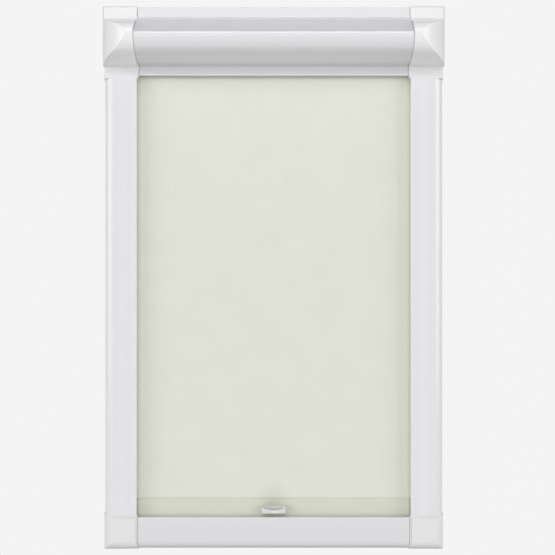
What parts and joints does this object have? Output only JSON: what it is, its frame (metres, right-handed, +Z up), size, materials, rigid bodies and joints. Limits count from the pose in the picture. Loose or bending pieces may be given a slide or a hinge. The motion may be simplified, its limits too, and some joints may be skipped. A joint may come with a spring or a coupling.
{
  "type": "roller blind",
  "caption": "Framed roller blind that clips over a window pane: cassette, sprung roller, fabric running in side channels, bottom bar with finger pull, push-in brackets.",
  "frame": {"origin": "middle of the cassette's flat back face, level with the roller's axis", "axes": "+X right seen from the room, +Y towards the window, +Z up"},
  "size_m": [0.377, 0.0714, 0.5995],
  "materials": {
    "extruded_pvc": "satin extruded white",
    "moulded_corner": "satin moulded white",
    "nylon": "matte natural white",
    "steel": "bright zinc",
    "shaft_steel": "turned",
    "aluminium": "mill",
    "blind_fabric": "plain weave, coated",
    "pull_plastic": "polished moulded",
    "bracket_plastic": "matte moulded"
  },
  "bodies": {
    "frame": {"cassette_back_rail": "extruded_pvc", "cassette_fascia": "extruded_pvc", "top_corner_left": "moulded_corner", "top_corner_right": "moulded_corner", "side_profile_left": "extruded_pvc", "side_profile_right": "extruded_pvc", "bottom_profile": "extruded_pvc", "bottom_corner_left": "moulded_corner", "bottom_corner_right": "moulded_corner", "roller_bracket_left": "nylon", "roller_bracket_right": "nylon", "idle_socket_bush": "nylon", "bracket_screws": "steel", "spring_shaft": "shaft_steel", "spring_anchor": "nylon", "torsion_spring": "steel", "fabric_sheet": "blind_fabric"},
    "roller": {"roller_tube": "aluminium", "drive_plug": "nylon", "inner_bush": "nylon", "idle_plug": "nylon", "idle_spring": "steel", "fabric_roll": "blind_fabric"},
    "idle_pin": {"idle_pin": "shaft_steel"},
    "bottom_bar": {"bottom_bar": "aluminium", "bar_end_left": "nylon", "bar_end_right": "nylon", "brake_spring_left": "steel", "brake_spring_right": "steel", "hem_pocket": "blind_fabric", "finger_pull": "pull_plastic", "pull_clip": "nylon"},
    "brake_shoe_left": {"brake_shoe_left": "nylon"},
    "brake_shoe_right": {"brake_shoe_right": "nylon"},
    "window_brackets": {"window_bracket_upper_left": "bracket_plastic", "window_bracket_upper_right": "bracket_plastic", "window_bracket_lower_left": "bracket_plastic", "window_bracket_lower_right": "bracket_plastic"}
  },
  "joints": [
    {"name": "bottom_bar_slide", "type": "slide", "parent": "frame", "child": "bottom_bar", "axis": [0, 0, 1], "range_m": [0, 0.465], "deforming": ["fabric_sheet"]},
    {"name": "roller_spin", "type": "hinge", "parent": "frame", "child": "roller", "pos_m": [0, -0.0205, 0], "axis": [1, 0, 0], "range_deg": [-2, 1880]},
    {"name": "idle_pin_press", "type": "slide", "parent": "roller", "child": "idle_pin", "axis": [-1, 0, 0], "range_m": [0, 0.007], "stiffness_N_per_m": 500, "springref_m": -0.002, "deforming": ["idle_spring"]},
    {"name": "brake_press_left", "type": "slide", "parent": "bottom_bar", "child": "brake_shoe_left", "axis": [1, 0, 0], "range_m": [0, 0.001], "stiffness_N_per_m": 400, "springref_m": -0.001, "deforming": ["brake_spring_left"]},
    {"name": "brake_press_right", "type": "slide", "parent": "bottom_bar", "child": "brake_shoe_right", "axis": [-1, 0, 0], "range_m": [0, 0.001], "stiffness_N_per_m": 400, "springref_m": -0.001, "deforming": ["brake_spring_right"]},
    {"name": "frame_unclip", "type": "slide", "parent": "frame", "child": "window_brackets", "axis": [0, 1, 0], "range_m": [0, 0.012]}
  ],
  "couplings": [
    {"joint": "roller_spin", "follows": "bottom_bar_slide", "rad_per_m": 70.4}
  ]
}
